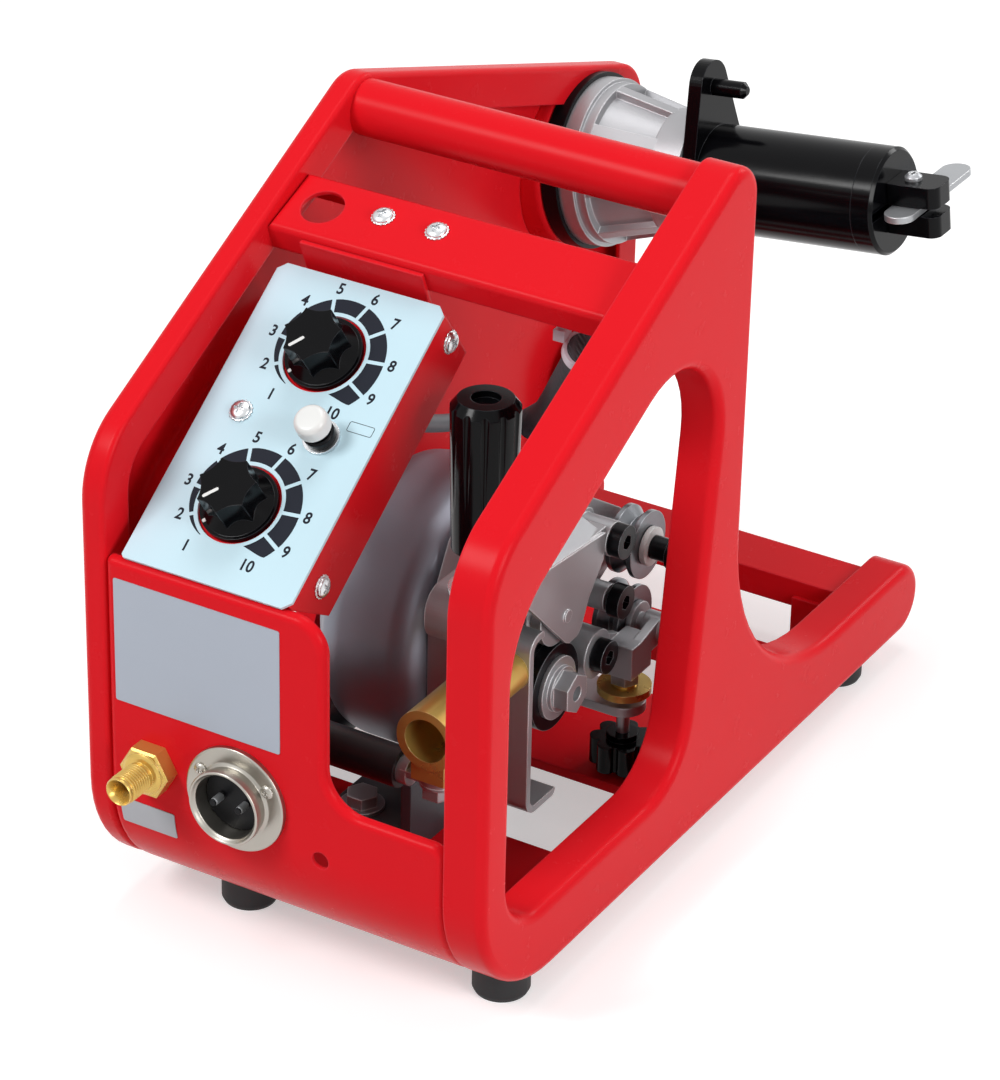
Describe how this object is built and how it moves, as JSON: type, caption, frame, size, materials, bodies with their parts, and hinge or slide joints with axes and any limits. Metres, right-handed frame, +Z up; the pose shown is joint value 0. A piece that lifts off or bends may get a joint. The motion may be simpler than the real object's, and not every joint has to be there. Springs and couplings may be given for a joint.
{
  "type": "wire feeder",
  "caption": "Portable wire feeder: pressed frame, control box with two dials, roller wire drive with straightener, sockets in front and a spool hub.",
  "frame": {"origin": "middle of the bounding box at the underside of the feet", "axes": "+Z up, -Y towards the front with the sockets, +X towards the side that the rollers and the hub face"},
  "size_m": [0.2012, 0.472, 0.3249],
  "materials": {
    "red_paint": "gloss enamel on pressed sheet",
    "plate_blue": "smooth printed film, pale blue",
    "black_plastic": "moulded, slightly glossy",
    "black_matt": "moulded, matt",
    "black_steel": "blackened steel",
    "rubber": "matt",
    "chrome": "bright plated",
    "steel": "zinc plated, satin",
    "cast_alloy": "cast and bead blasted",
    "dark_paint": "dark grey, matt",
    "roller_grey": "ground steel",
    "brass": "turned, bright",
    "white_plastic": "moulded",
    "label": "bare film",
    "cable_grey": "sheath",
    "woven": "braided sleeve",
    "clear_tie": "natural nylon"
  },
  "bodies": {
    "frame": {"side_frame_left": "red_paint", "side_frame_right": "red_paint", "front_panel": "red_paint", "handle_tube": "red_paint", "crossbeam": "red_paint", "floor_plate": "red_paint", "mid_plate": "red_paint", "mid_bar": "red_paint", "rear_bar": "red_paint", "rear_bracket": "red_paint", "feet": "rubber", "pan_screws": "chrome", "control_box": "red_paint", "faceplate": "plate_blue", "pots": "steel", "button_body": "chrome", "labels": "label", "socket_shell": "chrome", "socket_insert": "black_matt", "socket_screws": "chrome", "gas_fitting": "brass", "motor_housing": "cast_alloy", "motor_bracket": "dark_paint", "gearbox_housing": "cast_alloy", "gearbox_lid": "cast_alloy", "hex_bolts": "steel", "cap_bolts": "black_steel", "torch_adapter": "brass", "feed_guard": "steel", "roller_washers": "white_plastic", "hub_insulator": "black_matt", "hub_boss": "cast_alloy", "power_cable": "rubber", "cable_lug": "chrome", "lead_cable": "cable_grey", "harness_sleeve": "woven", "cable_tie": "clear_tie"},
    "upper_dial": {"knob_upper": "black_plastic"},
    "lower_dial": {"knob_lower": "black_plastic"},
    "inch_button": {"button_cap": "white_plastic"},
    "drive": {"drive_shaft": "steel", "feed_roller": "black_steel", "roller_bolt": "chrome"},
    "rotor": {"motor_rotor": "steel"},
    "arm": {"pressure_arm": "steel"},
    "top_wheel": {"pressure_roller": "steel"},
    "rod": {"pressure_rod": "chrome"},
    "seat": {"spring_seat": "chrome"},
    "grip": {"pressure_handle": "black_plastic"},
    "upper_straightener": {"top_roller": "roller_grey"},
    "lever": {"straightener_lever": "steel"},
    "lower_straightener": {"low_roller": "roller_grey"},
    "adjuster": {"adjust_rod": "chrome"},
    "disc": {"lock_disc": "brass"},
    "star": {"star_knob": "black_plastic"},
    "hub": {"hub_drum": "black_matt", "hub_cap": "black_matt", "latch_clevis": "black_matt", "latch_screw": "chrome"},
    "latch": {"latch_bar": "chrome"}
  },
  "joints": [
    {"name": "upper_dial_turn", "type": "hinge", "parent": "frame", "child": "upper_dial", "pos_m": [-0.04057, -0.11854, 0.24786], "axis": [0, -0.5857, 0.8106], "range_deg": [-290, 10]},
    {"name": "lower_dial_turn", "type": "hinge", "parent": "frame", "child": "lower_dial", "pos_m": [-0.04228, -0.17893, 0.20423], "axis": [0, -0.5857, 0.8106], "range_deg": [-288, 12]},
    {"name": "inch_press", "type": "slide", "parent": "frame", "child": "inch_button", "axis": [0, 0.5857, -0.8106], "range_m": [0, 0.003], "stiffness_N_per_m": 300, "springref_m": -0.002},
    {"name": "drive_spin", "type": "hinge", "parent": "frame", "child": "drive", "pos_m": [-0.00258, -0.06175, 0.08603], "axis": [1, 0, 0], "continuous": true},
    {"name": "rotor_spin", "type": "hinge", "parent": "frame", "child": "rotor", "pos_m": [-0.00258, -0.031, 0.09], "axis": [1, 0, 0], "continuous": true},
    {"name": "rod_swing", "type": "hinge", "parent": "frame", "child": "rod", "pos_m": [0.03093, -0.1075, 0.139], "axis": [1, 0, 0], "range_deg": [0, 50]},
    {"name": "seat_rise", "type": "slide", "parent": "rod", "child": "seat", "axis": [0, 0, 1], "range_m": [0, 0.0181]},
    {"name": "grip_turn", "type": "hinge", "parent": "seat", "child": "grip", "pos_m": [0.03093, -0.1075, 0.2], "axis": [0, 0, 1], "continuous": true},
    {"name": "arm_lift", "type": "hinge", "parent": "frame", "child": "arm", "pos_m": [0.03343, -0.017, 0.139], "axis": [-1, 0, 0], "range_deg": [0, 14.6]},
    {"name": "top_wheel_spin", "type": "hinge", "parent": "arm", "child": "top_wheel", "pos_m": [0.03492, -0.05905, 0.12112], "axis": [1, 0, 0], "continuous": true},
    {"name": "upper_straightener_spin", "type": "hinge", "parent": "frame", "child": "upper_straightener", "pos_m": [0.03492, 0.018, 0.119], "axis": [1, 0, 0], "continuous": true},
    {"name": "adjuster_slide", "type": "slide", "parent": "frame", "child": "adjuster", "axis": [0, 0, 1], "range_m": [-0.0022, 0.00071]},
    {"name": "star_turn", "type": "hinge", "parent": "adjuster", "child": "star", "pos_m": [0.04793, -0.011, 0.03], "axis": [0, 0, 1], "range_deg": [-634, 204]},
    {"name": "disc_turn", "type": "hinge", "parent": "adjuster", "child": "disc", "pos_m": [0.04793, -0.011, 0.062], "axis": [0, 0, 1], "continuous": true},
    {"name": "lever_rock", "type": "hinge", "parent": "frame", "child": "lever", "pos_m": [0.03742, -0.029, 0.087], "axis": [1, 0, 0], "range_deg": [-7, 2.25]},
    {"name": "lower_straightener_spin", "type": "hinge", "parent": "lever", "child": "lower_straightener", "pos_m": [0.03492, 0.008, 0.0861], "axis": [1, 0, 0], "continuous": true},
    {"name": "hub_turn", "type": "hinge", "parent": "frame", "child": "hub", "pos_m": [-0.08758, 0.181, 0.2135], "axis": [0.9936, 0, 0.1132], "continuous": true},
    {"name": "latch_turn", "type": "hinge", "parent": "hub", "child": "latch", "pos_m": [0.08392, 0.181, 0.23304], "axis": [0.1132, 0, -0.9936], "range_deg": [0, 90]}
  ],
  "couplings": [
    {"joint": "rotor_spin", "follows": "drive_spin", "ratio": -1.8182},
    {"joint": "top_wheel_spin", "follows": "drive_spin", "ratio": -1.3423},
    {"joint": "seat_rise", "follows": "rod_swing", "m_per_rad": 0.0206},
    {"joint": "arm_lift", "follows": "rod_swing", "ratio": 0.29},
    {"joint": "adjuster_slide", "follows": "lever_rock", "m_per_rad": 0.018},
    {"joint": "star_turn", "follows": "lever_rock", "ratio": 90.478}
  ]
}
